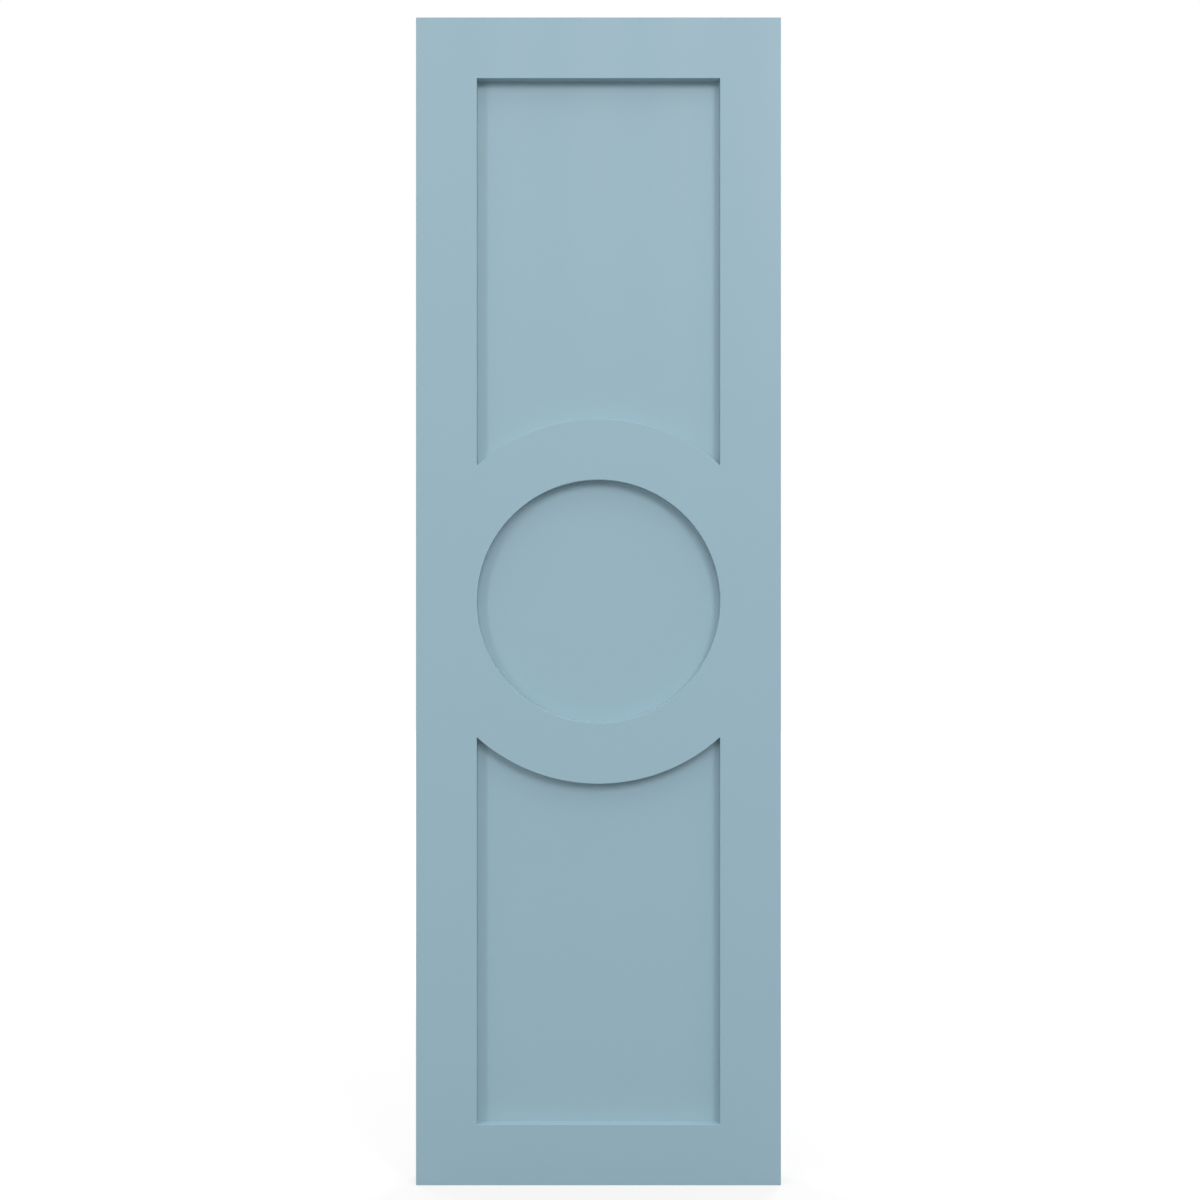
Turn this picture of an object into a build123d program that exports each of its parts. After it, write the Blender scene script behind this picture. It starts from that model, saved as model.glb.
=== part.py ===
from build123d import *
from math import sqrt
import os

# Arts and crafts exterior shutter, in millimetres.
# Two full-height stiles, a top rail, a bottom rail and two arch rails hold three flat
# panels in grooves. The arch rails meet at the ring's middle and make one full ring,
# whose hole touches the stiles' inner edges. Both faces of the shutter are alike.
# +X is to the right seen from the front, the front faces -Y and +Z is up.
# The origin is the middle of the bottom rail's back face, on the wall plane.
# Outlines are drawn as seen from the front, with heights from the bottom edge.

# Overall size
shutter_width = 381.0
shutter_height = 1219.2
frame_thickness = 31.75

# Faces of the frame members
stile_width = 63.5
top_rail_height = 63.5
bottom_rail_height = 63.5
ring_face_width = 63.5
ring_centre_height = shutter_height / 2
arris_radius = 0.4

# Panels and the grooves that hold them
panel_thickness = 6.35
groove_depth = 9.5
groove_side_clearance = 0.15
panel_edge_gap = 1.5

# Tenons, and the housings that save the arch rails from feather edges
tenon_thickness = 9.5
tenon_length = 38.0
tenon_setback = 12.7
arch_housing = 6.35
arch_tenon_length = 25.4
arch_tenon_margin = 6.0
glue_clearance = 0.1
mortise_end_gap = 1.0

# Values that follow from the sizes above
opening_width = shutter_width - 2 * stile_width
stile_inner_edge = opening_width / 2
top_rail_edge = shutter_height - top_rail_height
bottom_rail_edge = bottom_rail_height
ring_hole_radius = stile_inner_edge
ring_outer_radius = ring_hole_radius + ring_face_width
arch_shoulder_height = sqrt(ring_outer_radius**2 - stile_inner_edge**2)
arch_end_edge = stile_inner_edge + arch_housing
groove_edge = stile_inner_edge + groove_depth
groove_width = panel_thickness + 2 * groove_side_clearance
panel_reach = groove_depth - panel_edge_gap
groove_hole_radius = ring_hole_radius + groove_depth
groove_ring_radius = ring_outer_radius - groove_depth
arch_tenon_low = sqrt(max(groove_hole_radius**2 - arch_end_edge**2, 0.0)) + arch_tenon_margin
arch_tenon_high = sqrt(groove_ring_radius**2 - groove_edge**2) - arch_tenon_margin
origin_height = bottom_rail_height / 2


def area(x_low, x_high, z_low, z_high):
    """Rectangle between two places across the shutter and two heights."""
    middle = ((x_low + x_high) / 2, (z_low + z_high) / 2)
    return Pos(*middle) * Rectangle(x_high - x_low, z_high - z_low)


def disc(radius):
    """Disc about the ring's centre."""
    return Pos(0, ring_centre_height) * Circle(radius)


def layer(outline, thickness):
    """Solid of an outline, centred in the thickness of the shutter."""
    back = (frame_thickness - thickness) / 2
    return extrude(Plane.XZ.offset(back) * Pos(0, -origin_height) * outline, thickness)


def both_sides(shape):
    """A shape on the right-hand side together with its twin on the left."""
    return shape + mirror(shape, Plane.YZ)


def opening_outlines():
    """The upper, lower and round openings, as the frame shows them from the front."""
    upper = area(-stile_inner_edge, stile_inner_edge, ring_centre_height, top_rail_edge)
    lower = area(-stile_inner_edge, stile_inner_edge, bottom_rail_edge, ring_centre_height)
    return upper - disc(ring_outer_radius), lower - disc(ring_outer_radius), disc(ring_hole_radius)


def eased_frame():
    """The whole frame as one body with eased arrises, before it is parted into members."""
    outline = area(-shutter_width / 2, shutter_width / 2, 0, shutter_height)
    for opening in opening_outlines():
        outline -= opening
    body = layer(outline, frame_thickness)
    faces = body.faces().filter_by(Axis.Y)
    return fillet(faces.edges(), arris_radius)


def member(frame, region):
    """The part of the eased frame that lies inside a region seen from the front."""
    return frame & layer(region, frame_thickness)


def panel_outlines():
    """The three panels, each reaching into the grooves all round."""
    side = stile_inner_edge + panel_reach
    upper = area(-side, side, ring_centre_height, top_rail_edge + panel_reach)
    lower = area(-side, side, bottom_rail_edge - panel_reach, ring_centre_height)
    cope = disc(ring_outer_radius - panel_reach)
    return upper - cope, lower - cope, disc(ring_hole_radius + panel_reach)


def groove_outline():
    """Everything that the panel grooves reach, seen from the front."""
    field = area(-groove_edge, groove_edge, bottom_rail_edge - groove_depth, top_rail_edge + groove_depth)
    return field - (disc(groove_ring_radius) - disc(groove_hole_radius))


def stile_groove():
    """Grooves along both stiles' inner edges, open at the stiles' ends."""
    outline = area(stile_inner_edge, groove_edge, 0, shutter_height)
    return layer(both_sides(outline), groove_width)


def rail_tenon_outline(low, high, growth=0.0, length=tenon_length):
    """Tenon area at the right-hand end of a rail, grown all round for its mortise."""
    return area(stile_inner_edge, stile_inner_edge + length, low - growth, high + growth)


def arch_tenon_outline(growth=0.0, length=arch_tenon_length):
    """Tenon area at the right-hand end of the upper arch rail."""
    low = ring_centre_height + arch_tenon_low - growth
    high = ring_centre_height + arch_tenon_high + growth
    return area(arch_end_edge, arch_end_edge + length, low, high)


def rail_tenon_heights():
    """Lowest and highest point of the top rail's and the bottom rail's tenons."""
    top = (top_rail_edge + groove_depth, shutter_height - tenon_setback)
    bottom = (tenon_setback, bottom_rail_edge - groove_depth)
    return top, bottom


def mirrored_below(outline):
    """The twin of an outline on the other side of the ring's centre line."""
    return Pos(0, 2 * ring_centre_height) * mirror(outline, Plane.XZ)


def mortises():
    """Mortises of both stiles, a little larger than the tenons and deeper."""
    outlines = Sketch()
    for low, high in rail_tenon_heights():
        outlines += rail_tenon_outline(low, high, glue_clearance, tenon_length + mortise_end_gap)
    arch = arch_tenon_outline(glue_clearance, arch_tenon_length + mortise_end_gap)
    outlines += arch + mirrored_below(arch)
    return layer(both_sides(outlines), tenon_thickness + 2 * glue_clearance)


def stiles(frame):
    """Left and right stile, each notched for the ends of the arch rails."""
    region = area(stile_inner_edge, shutter_width / 2, 0, shutter_height)
    low = ring_centre_height - arch_shoulder_height
    high = ring_centre_height + arch_shoulder_height
    region -= area(stile_inner_edge, arch_end_edge, low, high)
    right = member(frame, region) - stile_groove() - mortises()
    left = member(frame, mirror(region, Plane.YZ)) - stile_groove() - mortises()
    return left, right


def rail(frame, low, high, tongue_heights, tenon_heights):
    """A rail with a groove for the panel, and a tongue and tenon at each end."""
    body = member(frame, area(-stile_inner_edge, stile_inner_edge, low, high))
    body -= layer(groove_outline(), groove_width)
    tongue = area(stile_inner_edge, groove_edge, *tongue_heights)
    body += layer(both_sides(tongue), panel_thickness)
    body += layer(both_sides(rail_tenon_outline(*tenon_heights)), tenon_thickness)
    return body


def rails(frame):
    """Top and bottom rail, whose tongues close the stiles' grooves at their ends."""
    top_tenon, bottom_tenon = rail_tenon_heights()
    top_tongue = (top_rail_edge + groove_depth, shutter_height)
    bottom_tongue = (0, bottom_rail_edge - groove_depth)
    top = rail(frame, top_rail_edge, shutter_height, top_tongue, top_tenon)
    bottom = rail(frame, 0, bottom_rail_edge, bottom_tongue, bottom_tenon)
    return top, bottom


def arch_region():
    """Half of the ring between the stiles, with square ends let into their housings."""
    centre = ring_centre_height
    half_ring = area(-stile_inner_edge, stile_inner_edge, centre, centre + ring_outer_radius)
    ends = area(-arch_end_edge, arch_end_edge, centre, centre + arch_shoulder_height)
    return half_ring + ends


def arch_rails(frame):
    """Upper and lower arch rail, grooved along both curves and tenoned into the stiles."""
    groove = layer(groove_outline(), groove_width)
    arches = []
    for turn in (lambda outline: outline, mirrored_below):
        body = member(frame, turn(arch_region())) - groove
        body += layer(turn(both_sides(arch_tenon_outline())), tenon_thickness)
        arches.append(body)
    return arches


def panels():
    """Upper, lower and round panel, floating in the grooves."""
    return [layer(outline, panel_thickness) for outline in panel_outlines()]


def build():
    """Every piece of the shutter under the name that a joiner would give it."""
    frame = eased_frame()
    left_stile, right_stile = stiles(frame)
    top_rail, bottom_rail = rails(frame)
    upper_arch_rail, lower_arch_rail = arch_rails(frame)
    upper_panel, lower_panel, round_panel = panels()
    return {
        "left_stile": left_stile,
        "right_stile": right_stile,
        "top_rail": top_rail,
        "bottom_rail": bottom_rail,
        "upper_arch_rail": upper_arch_rail,
        "lower_arch_rail": lower_arch_rail,
        "upper_panel": upper_panel,
        "lower_panel": lower_panel,
        "round_panel": round_panel,
    }


os.makedirs("parts", exist_ok=True)
for name, piece in build().items():
    export_step(piece, f"parts/{name}.step")
    print(name, "solids", len(piece.solids()), "volume", round(piece.volume))
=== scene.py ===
from math import cos, radians, sin

import bpy
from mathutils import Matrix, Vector


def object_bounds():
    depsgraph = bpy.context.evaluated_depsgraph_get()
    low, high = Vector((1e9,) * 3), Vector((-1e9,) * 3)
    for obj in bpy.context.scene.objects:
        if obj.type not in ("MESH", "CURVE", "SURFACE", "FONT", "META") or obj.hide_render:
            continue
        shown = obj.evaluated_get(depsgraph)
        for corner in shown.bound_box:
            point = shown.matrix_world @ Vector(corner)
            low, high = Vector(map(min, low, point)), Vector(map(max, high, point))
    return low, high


# Painted arts and crafts exterior shutter, seen square on against plain white.
# Metres, +Z up, the front faces -Y, and the back lies on the plane y = 0.

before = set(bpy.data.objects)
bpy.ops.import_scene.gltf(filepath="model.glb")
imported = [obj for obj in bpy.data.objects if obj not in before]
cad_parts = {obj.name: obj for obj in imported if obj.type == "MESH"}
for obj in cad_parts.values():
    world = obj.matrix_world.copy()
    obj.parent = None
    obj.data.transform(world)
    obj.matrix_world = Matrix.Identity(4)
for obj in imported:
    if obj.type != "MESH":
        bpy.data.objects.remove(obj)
cadLow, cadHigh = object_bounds()
middle = (cadLow + cadHigh) / 2
print("frame loaded:", len(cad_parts), "nodes")


# Helpers for shader nodes

def addNode(tree, kind, **settings):
    node = tree.nodes.new(kind)
    for name, value in settings.items():
        setattr(node, name, value)
    return node


def plug(tree, socket, source):  # a socket is linked, a number or colour is set
    if isinstance(source, bpy.types.NodeSocket):
        tree.links.new(source, socket)
    else:
        socket.default_value = source


def mathNode(tree, operation, *sources):
    node = addNode(tree, "ShaderNodeMath", operation=operation)
    for socket, source in zip(node.inputs, sources):
        plug(tree, socket, source)
    return node.outputs[0]


halfWay = 0.5  # noise and waves run from 0 to 1, and are shifted to swing about 0


def noiseAt(tree, coordinates, scale, detail):
    node = addNode(tree, "ShaderNodeTexNoise")
    plug(tree, node.inputs["Vector"], coordinates)
    plug(tree, node.inputs["Scale"], scale)
    plug(tree, node.inputs["Detail"], detail)
    return mathNode(tree, "SUBTRACT", node.outputs["Fac"], halfWay)


def openGroup(name, inputs, outputs):
    group = bpy.data.node_groups.new(name, "ShaderNodeTree")
    for label, kind, value in inputs:
        socket = group.interface.new_socket(label, in_out="INPUT", socket_type="NodeSocket" + kind)
        socket.default_value = value
    for label, kind in outputs:
        group.interface.new_socket(label, in_out="OUTPUT", socket_type="NodeSocket" + kind)
    return group, addNode(group, "NodeGroupInput").outputs, addNode(group, "NodeGroupOutput").inputs


def placeGroup(tree, group, values):
    node = addNode(tree, "ShaderNodeGroup", node_tree=group)
    for label, value in values.items():
        node.inputs[label].default_value = value
    return node.outputs


# Sprayed paint film: cloudy tone, orange peel, and bands of gloss from the passes of the gun

bandPitch = 0.314  # metres from band to band in a wave texture at a scale of 1


def makePaintFilm():
    group, given, result = openGroup(
        "Sprayed paint film",
        [
            ("Paint", "Color", (0.5, 0.5, 0.5, 1)),
            ("Tone spread", "Float", 0.01),
            ("Tone size", "Float", 0.12),
            ("Peel size", "Float", 0.002),
            ("Peel depth", "Float", 0.00001),
            ("Speck fineness", "Float", 6.0),
            ("Speck share", "Float", 0.15),
            ("Roughness", "Float", 0.5),
            ("Roughness spread", "Float", 0.03),
            ("Pass width", "Float", 0.09),
            ("Pass wander", "Float", 1.5),
        ],
        [("Colour", "Color"), ("Roughness", "Float"), ("Height", "Float")],
    )
    place = addNode(group, "ShaderNodeTexCoord").outputs["Object"]
    toneScale = mathNode(group, "DIVIDE", 1.0, given["Tone size"])
    clouds = noiseAt(group, place, toneScale, detail=3.0)
    colour = addNode(group, "ShaderNodeHueSaturation")
    plug(group, colour.inputs["Color"], given["Paint"])
    plug(group, colour.inputs["Value"], mathNode(group, "MULTIPLY_ADD", clouds, given["Tone spread"], 1.0))
    plug(group, result["Colour"], colour.outputs["Color"])

    bands = addNode(group, "ShaderNodeTexWave", wave_type="BANDS", bands_direction="X")
    plug(group, bands.inputs["Vector"], place)
    plug(group, bands.inputs["Scale"], mathNode(group, "DIVIDE", bandPitch, given["Pass width"]))
    plug(group, bands.inputs["Distortion"], given["Pass wander"])
    passes = mathNode(group, "SUBTRACT", bands.outputs["Fac"], halfWay)
    gloss = mathNode(group, "ADD", clouds, passes)
    rough = mathNode(group, "MULTIPLY_ADD", gloss, given["Roughness spread"], given["Roughness"])
    plug(group, result["Roughness"], rough)

    peelScale = mathNode(group, "DIVIDE", 1.0, given["Peel size"])
    speckScale = mathNode(group, "MULTIPLY", peelScale, given["Speck fineness"])
    waves = noiseAt(group, place, peelScale, detail=1.0)
    specks = noiseAt(group, place, speckScale, detail=2.0)
    film = mathNode(group, "MULTIPLY_ADD", specks, given["Speck share"], waves)
    plug(group, result["Height"], mathNode(group, "MULTIPLY", film, given["Peel depth"]))
    return group


# Long lines of the extruded board, which show faintly through its paint

def makeBoardLines():
    group, given, result = openGroup(
        "Board lines",
        [
            ("Stretch", "Vector", (1, 1, 1)),
            ("Line pitch", "Float", 0.002),
            ("Line depth", "Float", 0.00001),
        ],
        [("Height", "Float")],
    )
    place = addNode(group, "ShaderNodeTexCoord").outputs["Object"]
    run = addNode(group, "ShaderNodeVectorMath", operation="MULTIPLY")
    plug(group, run.inputs[0], place)
    plug(group, run.inputs[1], given["Stretch"])
    lineScale = mathNode(group, "DIVIDE", 1.0, given["Line pitch"])
    lines = noiseAt(group, run.outputs[0], lineScale, detail=3.0)
    plug(group, result["Height"], mathNode(group, "MULTIPLY", lines, given["Line depth"]))
    return group


paintFilm = makePaintFilm()
boardLines = makeBoardLines()
print("paint groups built:", len(bpy.data.node_groups))


# Paints: the same film on every piece, over boards whose lines run along each member

paint = {
    "Paint": (0.30, 0.455, 0.533, 1),
    "Tone spread": 0.012,
    "Tone size": 0.12,
    "Peel size": 0.0011,
    "Peel depth": 0.00006,
    "Speck fineness": 6.0,  # specks to one ripple of the peel
    "Speck share": 0.15,
    "Roughness": 0.48,
    "Roughness spread": 0.05,
    "Pass width": 0.09,
    "Pass wander": 1.5,
}
throwGreying = 0.6  # how much greyer the light is that one painted wall throws on the next

alongZ = (1.0, 1.0, 0.01)  # lines a hundred times as long as they are wide
alongX = (0.01, 1.0, 1.0)
boards = {
    "Stile paint": {"Stretch": alongZ, "Line pitch": 0.002, "Line depth": 0.00001},
    "Rail paint": {"Stretch": alongX, "Line pitch": 0.002, "Line depth": 0.00001},
    "Arch rail paint": {"Stretch": alongX, "Line pitch": 0.002, "Line depth": 0.00001},
    "Panel paint": {"Stretch": alongZ, "Line pitch": 0.002, "Line depth": 0.000005},
}
paintedPieces = {
    "Stile paint": ["left_stile", "right_stile"],
    "Rail paint": ["top_rail", "bottom_rail"],
    "Arch rail paint": ["upper_arch_rail", "lower_arch_rail"],
    "Panel paint": ["upper_panel", "lower_panel", "round_panel"],
}


def makePaint(name):
    material = bpy.data.materials.new(name)
    material.use_nodes = True
    tree = material.node_tree
    shader = tree.nodes["Principled BSDF"]
    film = placeGroup(tree, paintFilm, paint)
    board = placeGroup(tree, boardLines, boards[name])
    bump = addNode(tree, "ShaderNodeBump")
    bump.inputs["Distance"].default_value = 1.0  # heights come in metres
    plug(tree, bump.inputs["Height"], mathNode(tree, "ADD", film["Height"], board["Height"]))
    onward = addNode(tree, "ShaderNodeLightPath").outputs["Is Diffuse Ray"]
    thrown = addNode(tree, "ShaderNodeHueSaturation")
    plug(tree, thrown.inputs["Saturation"], mathNode(tree, "MULTIPLY_ADD", onward, -throwGreying, 1.0))
    plug(tree, thrown.inputs["Color"], film["Colour"])
    plug(tree, shader.inputs["Base Color"], thrown.outputs["Color"])
    plug(tree, shader.inputs["Roughness"], film["Roughness"])
    plug(tree, shader.inputs["Normal"], bump.outputs["Normal"])
    return material


for name, pieces in paintedPieces.items():
    coat = makePaint(name)
    for piece in pieces:
        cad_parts[piece].material_slots[0].material = coat
print("paints made:", len(paintedPieces))


# Studio: a pale floor, a white surround and soft lamps

studio = {
    "floorSize": 12.0,
    "floorColour": (0.22, 0.22, 0.22, 1),
    "footGlow": 0.68,  # what the camera sees of the floor's white by the foot, less its own light
    "footReach": 0.5,
    "glowReach": 1.6,
    "surroundColour": (1, 1, 1, 1),
    "white": 1.0,
    "overheadLight": 1.32,  # what lights the shutter from straight above, fading to none at the horizon
}


def addObject(name, data):
    thing = bpy.data.objects.new(name, data)
    bpy.context.scene.collection.objects.link(thing)
    return thing


def facing(way):  # the turn of a lamp or camera that looks this way
    return way.to_track_quat("-Z", "Y").to_euler()


def seenDirectly(tree):  # 1 for the camera's rays and those of gloss and glass
    path = addNode(tree, "ShaderNodeLightPath").outputs
    rays = mathNode(tree, "MAXIMUM", path["Is Camera Ray"], path["Is Glossy Ray"])
    return mathNode(tree, "MAXIMUM", rays, path["Is Transmission Ray"])


def makeSurround():
    world = bpy.data.worlds.new("White surround")
    bpy.context.scene.world = world
    world.use_nodes = True
    tree = world.node_tree
    way = addNode(tree, "ShaderNodeSeparateXYZ")
    plug(tree, way.inputs[0], addNode(tree, "ShaderNodeTexCoord").outputs["Generated"])
    above = mathNode(tree, "MAXIMUM", way.outputs["Z"], 0.0)
    strength = addNode(tree, "ShaderNodeMapRange")
    plug(tree, strength.inputs["Value"], seenDirectly(tree))
    plug(tree, strength.inputs["To Min"], mathNode(tree, "MULTIPLY", above, studio["overheadLight"]))
    strength.inputs["To Max"].default_value = studio["white"]
    background = tree.nodes["Background"]
    background.inputs["Color"].default_value = studio["surroundColour"]
    plug(tree, background.inputs["Strength"], strength.outputs["Result"])


def makeFloor():
    half = studio["floorSize"] / 2
    corners = [(-half, -half), (half, -half), (half, half), (-half, half)]
    mesh = bpy.data.meshes.new("Floor")
    mesh.from_pydata([(x, y, cadLow.z) for x, y in corners], [], [(0, 1, 2, 3)])
    floor = addObject("Floor", mesh)
    material = bpy.data.materials.new("Pale floor")
    material.use_nodes = True
    tree = material.node_tree
    tree.nodes.remove(tree.nodes["Principled BSDF"])
    matt = addNode(tree, "ShaderNodeBsdfDiffuse")
    matt.inputs["Color"].default_value = studio["floorColour"]
    away = addNode(tree, "ShaderNodeVectorMath", operation="LENGTH")
    plug(tree, away.inputs[0], addNode(tree, "ShaderNodeTexCoord").outputs["Object"])
    fade = addNode(tree, "ShaderNodeMapRange", interpolation_type="SMOOTHSTEP")
    plug(tree, fade.inputs["Value"], away.outputs["Value"])
    fade.inputs["From Min"].default_value = studio["footReach"]
    fade.inputs["From Max"].default_value = studio["glowReach"]
    fade.inputs["To Min"].default_value = studio["footGlow"]
    fade.inputs["To Max"].default_value = studio["white"]
    strength = mathNode(tree, "MULTIPLY", seenDirectly(tree), fade.outputs["Result"])
    glow = addNode(tree, "ShaderNodeEmission")
    plug(tree, glow.inputs["Strength"], strength)
    both = addNode(tree, "ShaderNodeAddShader")
    plug(tree, both.inputs[0], matt.outputs[0])
    plug(tree, both.inputs[1], glow.outputs[0])
    plug(tree, tree.nodes["Material Output"].inputs["Surface"], both.outputs[0])
    mesh.materials.append(material)


lamps = {  # bearing and rise as seen from the shutter, in degrees, then metres and watts
    "Right softbox": dict(bearing=26, rise=26, away=4.5, width=1.3, height=1.9, power=52),
    "Left strip": dict(bearing=-40, rise=12, away=4.5, width=0.65, height=1.9, power=31),
    "Front softbox": dict(bearing=1, rise=30, away=5.5, width=1.0, height=1.9, power=45),
    "High panel": dict(bearing=0, rise=66, away=12.0, width=6.0, height=2.5, power=75),
    "Ceiling panel": dict(bearing=0, rise=86, away=12.0, width=6.0, height=1.9, power=186),
    "Back right softbox": dict(bearing=154, rise=26, away=4.5, width=1.3, height=1.9, power=75),
    "Back left softbox": dict(bearing=-135, rise=22, away=4.5, width=1.3, height=1.9, power=55),
}


def makeLamp(name, bearing, rise, away, width, height, power):
    light = bpy.data.lights.new(name, "AREA")
    light.shape = "RECTANGLE"
    light.size = width
    light.size_y = height
    light.energy = power
    turn, lift = radians(bearing), radians(rise)
    way = Vector((sin(turn) * cos(lift), -cos(turn) * cos(lift), sin(lift)))
    lamp = addObject(name, light)
    lamp.location = middle + way * away
    lamp.rotation_euler = facing(-way)
    lamp.visible_camera = False


makeSurround()
makeFloor()
for name, values in lamps.items():
    makeLamp(name, **values)
print("studio lit by", len(lamps), "lamps")


# Camera: square on, a little above and to the right of the shutter's middle

view = {  # lens and sensor in millimetres, then metres from the front face and from the middle
    "lens": 50.0,
    "sensor": 36.0,
    "distance": 1.7397,
    "aside": 0.0016,
    "above": 0.0014,
}


def makeCamera():
    data = bpy.data.cameras.new("Camera")
    data.lens = view["lens"]
    data.sensor_width = view["sensor"]
    camera = addObject("Camera", data)
    camera.location = (middle.x + view["aside"], cadLow.y - view["distance"], middle.z + view["above"])
    camera.rotation_euler = facing(Vector((0, 1, 0)))
    bpy.context.scene.camera = camera


makeCamera()
bpy.context.scene.view_settings.view_transform = "Standard"
print("camera placed", view["distance"], "m before the front")

print("scene ready")
